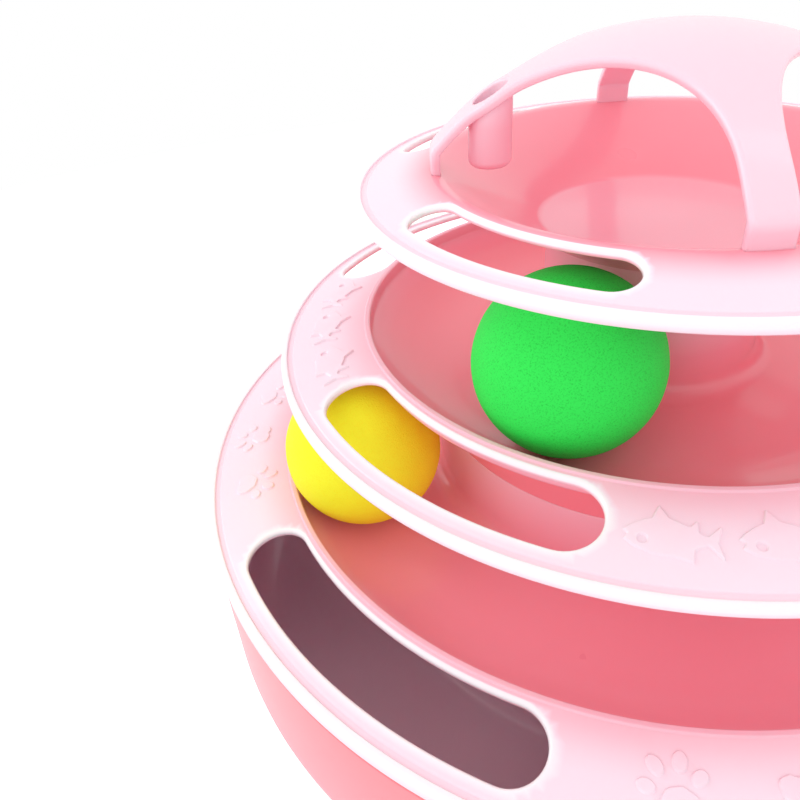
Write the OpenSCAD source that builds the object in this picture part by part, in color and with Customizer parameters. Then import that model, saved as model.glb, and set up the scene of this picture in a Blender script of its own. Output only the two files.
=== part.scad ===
// Cat ball track tower: a bowl-shaped base, three stacked trays and an arched crossbar.
// A ball runs in the track of the base and of the two larger trays.
// Origin: centre of the foot pads' underside. +Z is up, the slots face X and Y,
// and the legs of the crossbar stand on the diagonals.

/* [Balls] */
// Diameter of each ball
ball_d = 41; // [38:0.5:42]
// Wall thickness of the hollow balls
ball_wall = 1.2; // [0.8:0.1:3]
// Room between a ball and the hub that it runs round
ball_side_gap = 4; // [2:0.5:8]
// Room between the middle ball and the bowl above it
ball_top_gap = 1; // [0.5:0.1:3]
// Room between the base ball and the outer wall
base_ball_gap = 3.3; // [1:0.1:6]

/* [Levels] */
// Diameter of the lower tray at the edge of its flange
lower_rim_d = 245; // [235:1:270]
// Diameter of the middle tray at the edge of its flange
middle_rim_d = 193.6; // [190:0.2:206]
// Diameter of the upper tray at the edge of its flange
upper_rim_d = 147.2; // [144:0.2:158]
// Height of the lower tray's rim above the floor it stands on
lower_rim_h = 52.5; // [51:0.5:70]
// Height from the lower rim to the middle rim
middle_pitch = 36; // [35.5:0.5:48]
// Height from the middle rim to the upper rim
upper_pitch = 39.2; // [38:0.2:52]

/* [Tray section] */
// Wall thickness of the mouldings
wall = 1.8; // [1.4:0.1:2.4]
// Width of each sloping flange
flange_w = 21.8; // [20:0.2:22.6]
// Height that each flange gains towards the middle
flange_rise = 4.9; // [3:0.1:7]
// Radius of the rolled edge round each flange
rim_bead_r = 1.8; // [1.4:0.1:2.4]
// Radius of the small bead on the inner lip
lip_bead_r = 1; // [0.6:0.1:1.4]
// Depth of a track below its inner lip
track_depth = 12; // [10:0.5:14]
// Height of the straight wall just below an inner lip
lip_drop = 2.5; // [1.5:0.5:4.5]
// Distance from the lower tray's inner lip to the middle of its track
lower_track_inset = 20; // [19.8:0.2:21]
// Distance from the middle tray's inner lip to the middle of its track
middle_track_inset = 23; // [20:0.5:24]
// Radius between a track's floor and its hub
hub_fillet_r = 5; // [3:0.5:6]

/* [Slots and raised pattern] */
// Width of each long slot
slot_w = 15.8; // [10:0.1:16.2]
// Land between the inner lip and a slot
slot_land = 2.4; // [2:0.1:3]
// Angle from tip to tip of a slot in the lower tray
lower_slot_span = 45; // [30:1:50]
// Angle from tip to tip of a slot in the two other trays
slot_span = 48.5; // [34:0.5:52]
// Height of the raised paw prints and fish
relief_h = 0.5; // [0.3:0.1:1]
// Length of a raised fish
fish_l = 17; // [12:0.5:18]
// Width of a raised paw print
paw_w = 13; // [8:0.5:14]

/* [Bowl] */
// Depth of the bowl below the upper tray's inner lip
bowl_depth = 16; // [13:0.5:17]
// Rounding at the mouth of the bowl
bowl_mouth_r = 6; // [3:0.5:7]

/* [Base] */
// Outer radius of the base's bottom corner
base_corner_r = 14; // [8:0.5:18]
// Distance that the base wall stands outside the lower rim
base_wall_out = 1.5; // [1:0.1:1.8]
// Diameter of a foot pad
foot_d = 14; // [8:0.5:18]
// Height of a foot pad below the base
foot_h = 2; // [1.5:0.1:4]
// Diameter of the stud that holds a foot pad
foot_stud_d = 4; // [3:0.1:6]
// Length of that stud
foot_stud_h = 0.9; // [0.5:0.1:1]

/* [Twist lock] */
// Height of each hub above its track floor
hub_h = 19.6; // [15:0.2:22]
// Height of the neck that enters the skirt above
neck_h = 7; // [6:0.5:8]
// Radial space between neck and skirt
lock_space = 2.2; // [1.8:0.1:2.6]
// Height of a locking lug
lug_h = 2; // [1.5:0.1:2.4]
// Angle that a lug spans
lug_span = 20; // [12:1:20]
// Clearance between lugs, and from a lug to the wall that it faces
lock_gap = 0.4; // [0.3:0.05:0.6]

/* [Crossbar] */
// Radius of the legs' outer face at the feet
leg_r = 56.5; // [56.2:0.1:58]
// Lean of a leg at its foot
foot_lean = 24; // [15:1:30]
// Width of a leg at its foot
leg_w = 9.3; // [7:0.1:11]
// Thickness of the crossbar
arch_t = 2.2; // [1.6:0.1:3]
// Height of the crossbar above its feet
arch_h = 27.1; // [26:0.1:34]
// Radius of the shoulders
shoulder_r = 42; // [38:0.5:43]
// Distance from the axis to the top of each side opening
web_r = 32.8; // [28:0.2:38]
// Radial depth of a foot block
foot_block_l = 7; // [5:0.5:7]
// Height of a foot block
foot_block_h = 5; // [3:0.5:8]
// Width of the peg under each foot
peg_w = 5; // [3:0.5:6]
// Thickness of the peg
peg_t = 2.4; // [1.6:0.1:3]
// Clearance round a peg and round a foot pad's stud
peg_gap = 0.3; // [0.2:0.05:0.4]

/* [Wand socket] */
// Diameter of the bore for a toy wand
socket_d = 7.6; // [4:0.1:9]
// Wall of the socket tube
socket_wall = 1.3; // [1:0.1:2]
// Distance from the axis to the socket
socket_r = 42.3; // [41:0.1:44]
// Drop of the tube's closed end below the feet
socket_drop = 1.1; // [0:0.1:3]

/* [Hidden] */
$fn = 120;
join = 0.4; // overlap of solids that are joined in one moulding, and of a cut past its face
quarter = 90;
half_turn = 180;
curve_steps = 12;
slot_end_over = 0.04; // a slot's end circle is this much larger, so that it crosses the long edges

ball_r = ball_d / 2;
seat_gap = 0.2; // a ball lies this far above its track in the model
rim_r = [lower_rim_d / 2, middle_rim_d / 2, upper_rim_d / 2];
rim_z = [lower_rim_h, lower_rim_h + middle_pitch, lower_rim_h + middle_pitch + upper_pitch];
lip_r = [for (r = rim_r) r - flange_w];
lip_z = [for (z = rim_z) z + flange_rise];
track_r = [lip_r[0] - lower_track_inset, lip_r[1] - middle_track_inset];
track_z = [for (i = [0, 1]) lip_z[i] - track_depth];

// Rounded outer side of each track, which meets the wall below the lip
trough_h = track_depth - lip_drop;
trough_w = [lower_track_inset, middle_track_inset];
trough_r = [for (w = trough_w) (trough_h * trough_h + w * w) / (2 * trough_h)];

// Base wall and its track
base_r = rim_r[0] + base_wall_out;
base_floor_z = foot_h + wall;
base_track_r = base_r - wall - base_ball_gap - ball_r;
base_top_z = rim_z[0] - 2 * rim_bead_r - lock_gap;
foot_r = base_track_r;

// Hubs: of the base, the lower tray and the middle tray
hub_r = [for (r = [base_track_r, track_r[0], track_r[1]]) r - ball_r - ball_side_gap];
hub_floor_z = [base_floor_z, track_z[0], track_z[1]];
seam_z = [for (z = hub_floor_z) z + hub_h];
lug_depth = lock_space - lock_gap;
skirt_lug_z = lock_gap;
neck_lug_z = skirt_lug_z + lug_h + lock_gap;
stop_span = 3;
stop_gap = 1;

// Bowl: its sloping wall just clears the ball that runs below it
bowl_z = lip_z[2] - bowl_depth;
bowl_edge = [lip_r[2], lip_z[2]];
to_ball = [track_r[1], track_z[1] + seat_gap + ball_r] - bowl_edge;
bowl_slope = half_turn + atan2(to_ball[1], to_ball[0])
    - asin((ball_r + ball_top_gap + wall) / norm(to_ball));
bowl_r = bowl_edge[0] - bowl_depth / tan(bowl_slope);
bowl_fillet_r = 4;
flange_slope = atan2(flange_rise, flange_w);
mouth_turn = (flange_slope + bowl_slope) / 2;
mouth_start = [lip_r[2] + bowl_mouth_r * tan(mouth_turn) * cos(flange_slope),
    lip_z[2] - bowl_mouth_r * tan(mouth_turn) * sin(flange_slope)];

// Crossbar
pad_rise = 0.3;
feet_z = lip_z[2] + pad_rise;
foot_mid_r = leg_r - arch_t / 2;
foot_block_w = leg_w + 1;
pad_margin = 0.8;
peg_reach = 3.6;
apex_z = feet_z + arch_h;
crown_min = 0.5; // least rise of the crown over the shoulders
// The shoulder's rounding ends where it meets the crown or the axis
shoulder_fit = min(shoulder_r, (arch_h - crown_min) / (1 - sin(foot_lean)), leg_r / cos(foot_lean));
shoulder = [leg_r - shoulder_fit * cos(foot_lean), feet_z - shoulder_fit * sin(foot_lean)];
crown_drop = apex_z - shoulder[1];
crown_r = (shoulder[0] * shoulder[0] + crown_drop * crown_drop - shoulder_fit * shoulder_fit)
    / (2 * (crown_drop - shoulder_fit));
crown_angle = asin(shoulder[0] / (crown_r - shoulder_fit));
web_cut_r = (web_r - leg_w / 2 * sqrt(2)) / (sqrt(2) - 1);
socket_tip_z = feet_z - socket_drop;
socket_floor_z = socket_tip_z + socket_wall;
leg_angles = [45, 135, 225, 315];
socket_angle = 225;

// Where each ball lies in its track
base_ball_angle = 60;
yellow_ball_angle = 240.5;
green_ball_angle = 279.5;

// Raised pattern: angle between neighbours, and shapes as shares of the pattern's own size
paw_spread = 11;
fish_spread = 13;
paw_pad_r = 0.25;
paw_pad_back = 0.125;
toe_r = 0.137;
toe_reach = 0.42;
toe_angles = [-60, -21, 21, 60];
fish_side_r = 0.52;
fish_half_w = 0.28;
fish_eye_r = 0.055;
fish_eye_x = -0.24;
fish_tail = [[0.28, 0], [0.56, 0.24], [0.48, 0], [0.56, -0.24]];

pink = [0.98, 0.63, 0.70];
pale_pink = [0.99, 0.78, 0.84];
rubber = [0.93, 0.93, 0.93];
blue = [0.25, 0.62, 0.95];
yellow = [1.0, 0.85, 0.05];
green = [0.15, 0.88, 0.35];

// Height of a rounded trough above its floor, at a distance out from the track's middle
function trough_rise(level, d) = trough_r[level] - sqrt(pow(trough_r[level], 2) - d * d);

// Points on an arc, measured clockwise from straight up
function arc(centre, r, from, to) =
    [for (i = [0 : curve_steps]) let (a = from + (to - from) * i / curve_steps)
        centre + r * [sin(a), cos(a)]];

// Outline of the crossbar from the axis to the foot, drawn in by inset
function arch_curve(inset) = concat(
    arc([0, apex_z - crown_r], crown_r - inset, 0, crown_angle),
    arc(shoulder, shoulder_fit - inset, crown_angle, quarter - foot_lean));

function backwards(points) = [for (i = [len(points) - 1 : -1 : 0]) points[i]];

module ring_section(r, w, z, h) {
    translate([r - w, z])
        square([w, h]);
}

// Flange with its rolled edge, from the rim in to the given inner point
module flange_section(level, inner) {
    r = rim_r[level];
    z = rim_z[level];
    translate([r, z - rim_bead_r])
        circle(r = rim_bead_r);
    polygon([[r, z], inner, inner - [0, wall], [r, z - wall]]);
}

// Lip of a flange: its bead, and the short wall that stands on the track's wall
module lip_section(level) {
    translate([lip_r[level], lip_z[level] - lip_bead_r])
        circle(r = lip_bead_r);
    ring_section(lip_r[level] + wall / 2, wall, track_z[level] + trough_h, lip_drop - lip_bead_r);
}

// Top of the wall, rounded trough and floor of a track, and the fillet that turns up into the hub
module track_section(level) {
    r = track_r[level];
    z = track_z[level];
    hub = hub_r[level + 1];
    ring_section(lip_r[level] + wall / 2, wall, z + trough_h - wall / 2, wall / 2);
    intersection() {
        translate([r, z + trough_r[level]])
            difference() {
                circle(r = trough_r[level] + wall);
                circle(r = trough_r[level]);
            }
        translate([r, z - wall])
            square([trough_w[level] + wall / 2, trough_h + wall]);
    }
    translate([hub - wall, z - wall])
        square([r - hub + wall + join, wall]);
    hub_fillet(hub, z);
}

module hub_fillet(hub, z) {
    difference() {
        translate([hub - wall, z - wall])
            square(hub_fillet_r + wall);
        translate([hub + hub_fillet_r, z + hub_fillet_r])
            circle(r = hub_fillet_r);
    }
}

// Hub wall, the shelf that carries the tray above, and the neck inside that tray's skirt
module hub_section(i) {
    neck_r = hub_r[i] - wall - lock_space;
    ring_section(hub_r[i], wall, hub_floor_z[i] - wall, hub_h + wall);
    ring_section(hub_r[i], 2 * wall + lock_space, seam_z[i] - wall, wall);
    ring_section(neck_r, wall, seam_z[i] - wall, neck_h + wall);
}

// Blocks repeated every quarter turn round the axis
module lug_ring(r, depth, z, h, from, span) {
    for (k = [0 : 3])
        rotate([0, 0, k * quarter + from])
            rotate_extrude(angle = span)
                translate([r, z])
                    square([depth, h]);
}

// Lugs and stops on the outside of a neck
module neck_lugs(i) {
    r = hub_r[i] - wall - lock_space - join;
    lug_ring(r, lug_depth + join, seam_z[i] + neck_lug_z, lug_h, -lug_span / 2, lug_span);
    lug_ring(r, lug_depth + join, seam_z[i] - join, neck_lug_z + lug_h + join,
        -lug_span / 2 - stop_gap - stop_span, stop_span);
}

// Skirt below a tray, with the lugs that pass under the neck's lugs
module skirt(i, top_z) {
    rotate_extrude()
        ring_section(hub_r[i], wall, seam_z[i], top_z - seam_z[i]);
    lug_ring(hub_r[i] - wall - lug_depth, lug_depth + join, seam_z[i] + skirt_lug_z, lug_h,
        -lug_span / 2, lug_span);
}

// Flat outline of a curved slot with round ends, centred on +X
module slot_outline(r, span) {
    half = span / 2 - asin(slot_w / 2 / r);
    far = 2 * r;
    intersection() {
        difference() {
            circle(r = r + slot_w / 2);
            circle(r = r - slot_w / 2);
        }
        polygon([[0, 0], [far * cos(half), -far * sin(half)], [far * cos(half), far * sin(half)]]);
    }
    for (a = [-half, half])
        rotate(a)
            translate([r, 0])
                circle(r = slot_w / 2 + slot_end_over);
}

module slots(level, span) {
    r = lip_r[level] + slot_land + slot_w / 2;
    for (k = [0 : 3])
        rotate([0, 0, k * quarter])
            translate([0, 0, rim_z[level] - 2 * wall])
                linear_extrude(flange_rise + 3 * wall)
                    slot_outline(r, span);
}

module paw_outline() {
    translate([-paw_w * paw_pad_back, 0])
        circle(r = paw_w * paw_pad_r);
    for (a = toe_angles)
        rotate(a)
            translate([paw_w * toe_reach, 0])
                circle(r = paw_w * toe_r);
}

module fish_outline() {
    difference() {
        intersection_for(s = [-1, 1])
            translate([0, s * fish_l * fish_half_w])
                circle(r = fish_l * fish_side_r);
        translate([fish_l * fish_eye_x, 0])
            circle(r = fish_l * fish_eye_r);
    }
    polygon(fish_l * fish_tail);
}

// Places a flat outline on each diagonal of a flange and keeps a thin raised layer of it
module relief(level, offsets) {
    r = rim_r[level];
    mid = r - flange_w / 2;
    intersection() {
        rotate_extrude()
            polygon([[r, rim_z[level] - join], [lip_r[level], lip_z[level] - join],
                [lip_r[level], lip_z[level] + relief_h], [r, rim_z[level] + relief_h]]);
        for (a = leg_angles, b = offsets)
            rotate([0, 0, a + b])
                translate([mid, 0, rim_z[level] - wall])
                    linear_extrude(flange_rise + 2 * wall)
                        children();
    }
}

// Cross seen from above: four legs that widen through large fillets into the crown
module cross_outline() {
    centre = web_cut_r + leg_w / 2;
    rotate(45)
        difference() {
            circle(r = leg_r + join);
            for (x = [-1, 1], y = [-1, 1])
                translate([x * centre, y * centre])
                    circle(r = web_cut_r);
        }
}

module under_arch(inset, low_z) {
    rotate_extrude()
        polygon(concat([[0, low_z]], arch_curve(inset), [[leg_r - inset, low_z]]));
}

module arch_shell() {
    intersection() {
        rotate_extrude()
            polygon(concat(arch_curve(0), backwards(arch_curve(arch_t))));
        translate([0, 0, feet_z])
            linear_extrude(arch_h + join)
                cross_outline();
    }
}

module foot_peg(grow, low_z, high_z) {
    translate([foot_mid_r - peg_t / 2 - grow, -peg_w / 2 - grow, low_z])
        cube([peg_t + 2 * grow, peg_w + 2 * grow, high_z - low_z]);
}

module base_bowl() {
    corner = base_r - base_corner_r;
    color(pink)
        difference() {
            union() {
                rotate_extrude() {
                    ring_section(base_r, wall, foot_h + base_corner_r,
                        base_top_z - foot_h - base_corner_r);
                    intersection() {
                        translate([corner, foot_h + base_corner_r])
                            difference() {
                                circle(r = base_corner_r);
                                circle(r = base_corner_r - wall);
                            }
                        translate([corner, foot_h])
                            square(base_corner_r);
                    }
                    translate([0, foot_h])
                        square([corner + join, wall]);
                    hub_section(0);
                    hub_fillet(hub_r[0], base_floor_z);
                }
                neck_lugs(0);
            }
            for (a = leg_angles)
                rotate([0, 0, a])
                    translate([foot_r, 0, foot_h - join])
                        cylinder(d = foot_stud_d + 2 * peg_gap, h = foot_stud_h + peg_gap + join);
        }
}

module foot(i) {
    color(rubber)
        rotate([0, 0, leg_angles[i]])
            translate([foot_r, 0, 0]) {
                cylinder(d = foot_d, h = foot_h);
                cylinder(d = foot_stud_d, h = foot_h + foot_stud_h);
            }
}

// Flange of a tray with its lip and slots, and the raised pattern that is passed to it
module flange(level, span) {
    color(pale_pink)
        difference() {
            union() {
                rotate_extrude() {
                    flange_section(level, [lip_r[level], lip_z[level]]);
                    lip_section(level);
                }
                children();
            }
            slots(level, span);
        }
}

// Track below a tray's lip, with the hub inside it and the skirt under it
module track(level, skirt_top) {
    color(pale_pink) {
        rotate_extrude() {
            track_section(level);
            hub_section(level + 1);
        }
        neck_lugs(level + 1);
        skirt(level, skirt_top);
    }
}

module lower_tray() {
    flange(0, lower_slot_span)
        relief(0, [-paw_spread, 0, paw_spread])
            paw_outline();
}

module lower_track() {
    track(0, track_z[0] - wall / 2);
}

module middle_tray() {
    flange(1, slot_span)
        relief(1, [-fish_spread, 0, fish_spread])
            rotate(quarter)
                fish_outline();
}

module middle_track() {
    track(1, track_z[1] + trough_rise(1, max(0, hub_r[1] - track_r[1])) - wall / 2);
}

// Bowl of the upper tray: rounded mouth, sloping wall and flat floor
module bowl_section() {
    mid = (flange_slope - bowl_slope) / 2;
    mouth = bowl_edge - bowl_mouth_r / cos(mouth_turn) * [sin(mid), cos(mid)];
    corner = [bowl_r - bowl_fillet_r * tan(bowl_slope / 2), bowl_z + bowl_fillet_r];
    under = wall * tan(bowl_slope / 2);
    polygon(concat(
        arc(mouth, bowl_mouth_r, flange_slope, -bowl_slope),
        arc(corner, bowl_fillet_r, half_turn - bowl_slope, half_turn),
        [[0, bowl_z], [0, bowl_z - wall], [bowl_r + under, bowl_z - wall],
            [bowl_edge[0] + under, lip_z[2] - wall], mouth_start - [0, wall]]));
}

module upper_tray() {
    color(pale_pink)
        difference() {
            union() {
                rotate_extrude() {
                    flange_section(2, mouth_start);
                    bowl_section();
                }
                skirt(2, bowl_z - wall / 2);
                for (a = leg_angles)
                    rotate([0, 0, a])
                        foot_pad();
            }
            slots(2, slot_span);
            for (a = leg_angles)
                rotate([0, 0, a])
                    foot_peg(peg_gap, rim_z[2] - wall - join, feet_z + join);
        }
}

// Flat seat for a foot of the crossbar on the sloping flange
module foot_pad() {
    l = foot_block_l + 2 * pad_margin;
    w = foot_block_w + 2 * pad_margin;
    intersection() {
        translate([foot_mid_r - l / 2, -w / 2, rim_z[2]])
            cube([l, w, feet_z - rim_z[2]]);
        rotate_extrude()
            polygon([[rim_r[2], rim_z[2] - wall / 2], [lip_r[2], lip_z[2] - wall / 2],
                [lip_r[2], feet_z + join], [rim_r[2], feet_z + join]]);
    }
}

module crossbar() {
    color(pale_pink)
        difference() {
            union() {
                arch_shell();
                for (a = leg_angles)
                    rotate([0, 0, a]) {
                        translate([foot_mid_r - foot_block_l / 2, -foot_block_w / 2, feet_z])
                            cube([foot_block_l, foot_block_w, foot_block_h]);
                        foot_peg(0, feet_z - peg_reach, feet_z + join);
                    }
                intersection() {
                    rotate([0, 0, socket_angle])
                        translate([socket_r, 0, socket_tip_z])
                            cylinder(d = socket_d + 2 * socket_wall, h = arch_h + socket_drop);
                    under_arch(arch_t / 2, socket_tip_z);
                }
            }
            rotate([0, 0, socket_angle])
                translate([socket_r, 0, socket_floor_z])
                    cylinder(d = socket_d, h = arch_h + socket_drop);
        }
}

module track_ball(r, z, angle) {
    rotate([0, 0, angle])
        translate([r, 0, z + seat_gap + ball_r])
            difference() {
                sphere(r = ball_r);
                sphere(r = ball_r - ball_wall);
            }
}

module base_ball() {
    color(blue)
        track_ball(base_track_r, base_floor_z, base_ball_angle);
}

module yellow_ball() {
    color(yellow)
        track_ball(track_r[0], track_z[0], yellow_ball_angle);
}

module green_ball() {
    color(green)
        track_ball(track_r[1], track_z[1], green_ball_angle);
}

base_bowl();
lower_tray();
lower_track();
middle_tray();
middle_track();
upper_tray();
crossbar();
base_ball();
yellow_ball();
green_ball();
foot(0);  // foot_1
foot(1);  // foot_2
foot(2);  // foot_3
foot(3);  // foot_4
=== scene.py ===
import math

import bmesh
import bpy
import numpy as np
from mathutils import Matrix, Vector, noise
from mathutils.geometry import delaunay_2d_cdt


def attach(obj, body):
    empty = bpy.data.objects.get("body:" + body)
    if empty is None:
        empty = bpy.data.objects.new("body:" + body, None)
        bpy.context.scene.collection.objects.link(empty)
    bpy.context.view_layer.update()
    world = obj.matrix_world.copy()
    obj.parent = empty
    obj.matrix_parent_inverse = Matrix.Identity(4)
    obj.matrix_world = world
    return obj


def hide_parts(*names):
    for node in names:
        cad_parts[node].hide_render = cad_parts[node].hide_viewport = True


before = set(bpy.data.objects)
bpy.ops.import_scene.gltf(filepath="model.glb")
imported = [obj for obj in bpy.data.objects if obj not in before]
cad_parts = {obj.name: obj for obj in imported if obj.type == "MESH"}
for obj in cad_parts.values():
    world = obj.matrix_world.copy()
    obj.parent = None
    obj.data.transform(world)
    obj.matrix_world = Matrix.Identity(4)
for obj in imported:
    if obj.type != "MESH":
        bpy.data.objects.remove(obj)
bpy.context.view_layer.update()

# Sizes in millimetres. Levels: 0 lower, 1 middle, 2 upper tray.
MM = 0.001
WALL = 1.8
ROUND = 360  # segments of a large round

# Flanges and their rims
RIM_R = (122.5, 96.8, 73.6)
RIM_Z = (52.5, 88.5, 127.7)
RIM_EDGE = ((3.6, 1.8), (2.4, 1.5), (2.4, 1.5))  # drop below the rim, reach beyond it
RIM_JOIN = (2.4, 2.2)  # from the rim in to the flange, on top and below
GROOVE = 0.15
FLANGE_W = 21.8
FLANGE_RISE = 4.9
SLOPE = math.atan2(FLANGE_RISE, FLANGE_W)
LIP_R = [r - FLANGE_W for r in RIM_R]
LIP_Z = [z + FLANGE_RISE for z in RIM_Z]
LIP_JOIN = (1.2, 1.5)  # from the lip out to the flange, on top and below

# Slots, and the prints between them
SLOT_W = (15.0, 15.0, 10.5)
SLOT_LAND = (2.2, 2.2, 6.3)  # between lip and slot
SLOT_SPAN = (45.0, 48.5, 48.5)  # degrees
SLOT_ROUND = (0.8, 0.6)  # edges on top and below
SLOT_STEPS = (44, 22)  # points of an arc, of an end
PRINT_H = 0.5
PRINT_APART = (11, 13)  # degrees
PAW_W = 13.5
FISH_L = 17
EYE_R = 0.75
BEVEL = ((0.0, 0.0, 0.0), (0.10, 0.16, 0.75), (0.26, 0.84, 0.75), (0.40, 1.0, 0.0))  # in, up, lean

# Base, tracks, hubs and twist locks
BASE_R = 124.0
BASE_LOW = 2.0
BASE_TOP = 48.5
FLOOR_Z = 3.8
TRACK_R = (80.7, 52.0)
TRACK_Z = (45.4, 81.4)
TROUGH_R = (25.8, 32.6)
TROUGH_STOP = 0.8  # how far short of the lip's wall a trough's curve ends
HUB_R = (73.9, 56.2, 27.5)
SEAM_Z = (23.4, 65.0, 101.0)
NECK_H = 7.0
LOCK_SPACE = 2.2
LUG_BITE = 0.3
LUG_REACH = 2.1
LUG_TURN = 10  # degrees
NECK_LUG = (2.8, 4.8)  # heights over the seam
SKIRT_LUG = (0.4, 2.4)
STOP_Z = (-0.3, 4.8)
STOP_TURN = (-14, -11)

# Bowl of the upper tray
BOWL_Z = 116.6
BOWL_R = 29.5
MOUTH_R = 55.2
MOUTH_ROUND = 4.7
MOUTH_JOIN = (57.15, 57.2)  # where the flange ends, on top and below

# Crossbar and its wand tube
APEX_Z = 160.0
ARCH_T = 2.2
ARCH_ROUND = (1.0, 0.6)  # edges on top and below
SHOULDER_R = 57.7
WEB_R = 24.6
LEG_R = 56.5
LEG_W = 9.2
CREASE_R = 2.6
HEEL_Z = 136.8
FOOT_LOW = 130.9
FOOT_LEAN = math.radians(41)
FEET_Z = 132.9
PEG = (1.8, 5.0, 3.6)
PEG_ROUND = (0.4, 0.1)  # lower and upper edge
TUBE_AT = 42.3
TUBE_R = 5.1
TUBE_NECK = 0.25
TUBE_TIP = 131.8
TUBE_ROUND = 64  # segments
BORE_R = 3.8
BORE_MOUTH = 0.6
BORE_FLOOR = 133.1
BOSS_AT = 42.9
BOSS_R = 6.6

# Foot pads: radius, height, stud's radius and height
FOOT_PAD = (7.0, 2.0, 2.0, 0.9)
FOOT_AT = 98.4

# Balls: radius of the track, degrees, height
BALL_R = 20.5
BALL_DENT = 0.06  # how far inside that radius the foam's skin lies
BALL_WAVE = 0.05
BALL_AT = {"green_ball": (TRACK_R[1], 279.5, 102.1), "yellow_ball": (TRACK_R[0], 240.5, 66.1),
           "base_ball": (98.4, 60.0, 24.5)}

# Places on the pink ramp, 0 nearly white and 1 deepest: the plastic's base tones, painted highlight
# and painted shade
# Rim: painted highlight, nearly white, on its face, and painted shade, a little deeper, on its
# underside
RIM_PAINTED_LIGHT = (0.0, 0.1)  # its face, its underside
# Painted shade in the groove between rim and flange
GROOVE_PAINTED_SHADE = 0.2
# Painted highlight, nearly white, on the rounded slot edges
SLOT_PAINTED_HIGHLIGHT = 0.0
FLANGE_TINT = 0.12
# Painted shade, added inside the flange and down the trough or the bowl
INSIDE_PAINTED_SHADE = (0.3, 0.3, 0.55)  # added inside the flange
DOWN_PAINTED_SHADE = (0.22, 0.42, 0.3)  # added down the trough or the bowl
# Painted light: the bowl's floor paler than its wall
BOWL_FLOOR_PAINTED_LIGHT = 0.5  # taken off on the bowl's floor
# The arch's base tone, and painted shade on the wand tube under the arch and low on the legs' feet
ARCH_TINT, TUBE_PAINTED_SHADE, FOOT_PAINTED_SHADE = 0.24, 0.42, 0.38
# The base's tone, painted shade on its outer wall, and painted bounce light making that wall paler
# towards the bottom
BASE_TINT, OUTSIDE_PAINTED_SHADE, OUTSIDE_PAINTED_BOUNCE = 0.15, 0.85, 0.2

# Roughness
PLASTIC_ROUGH = 0.28
FOAM_ROUGH = 0.7

# Light: name, place and height aimed at in metres, size, watts
WORLD_LIGHT = 1.0
FLOOR_GLOW = 0.45  # for the camera alone
LAMPS = (("overhead", (0.22, 0.2, 0.72), 0.1, (0.16, 0.42), 0.2),
         ("left", (-0.62, -0.3, 0.42), 0.07, (0.35, 0.5), 1.0),
         ("front", (0.25, -0.75, 0.5), 0.07, (0.4, 0.4), 0.5))

# Camera, as solved from the photograph: focal length in pixels, millimetres and radians
PHOTO_W = 800
FOCAL = 727.5329
EYE_AWAY = 184.1752
EYE_UP = 133.4411
YAW, PITCH, ROLL = -0.377138, 0.606539, -0.077076
TOWER_TURN = math.radians(25.5)


def unit(v):
    v = np.asarray(v, float)
    return v / np.linalg.norm(v)


def turned(v, a):
    c, s = math.cos(a), math.sin(a)
    return np.array([c * v[0] - s * v[1], s * v[0] + c * v[1]])


def ray(a):
    return np.array([math.cos(a), math.sin(a)])


def smooth_step(x, lo, hi):
    t = min(1.0, max(0.0, (x - lo) / (hi - lo)))
    return t * t * (3 - 2 * t)


def rounded(corners, closed=False, step=12.0):
    """Points and outward normals of an outline of (x, y, fillet), with the solid on its left."""
    p = [np.array(c[:2], float) for c in corners]
    n = len(p)
    points, normals = [], []
    for i, (_, _, fillet) in enumerate(corners):
        if not closed and i in (0, n - 1):
            d = unit(p[1] - p[0]) if i == 0 else unit(p[-1] - p[-2])
            points.append(p[i])
            normals.append(np.array([d[1], -d[0]]))
            continue
        d1, d2 = unit(p[i] - p[i - 1]), unit(p[(i + 1) % n] - p[i])
        turn = math.atan2(d1[0] * d2[1] - d1[1] * d2[0], float(d1 @ d2))
        side = 1 if turn > 0 else -1
        out = np.array([d1[1], -d1[0]])
        start = p[i] - d1 * fillet * math.tan(abs(turn) / 2)
        centre = start - side * fillet * out
        steps = max(2, math.ceil(abs(math.degrees(turn)) / step))
        for k in range(steps + 1):
            normal = turned(out, turn * k / steps)
            points.append(centre + side * fillet * normal)
            normals.append(normal)
    return np.array(points), np.array(normals)


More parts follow.
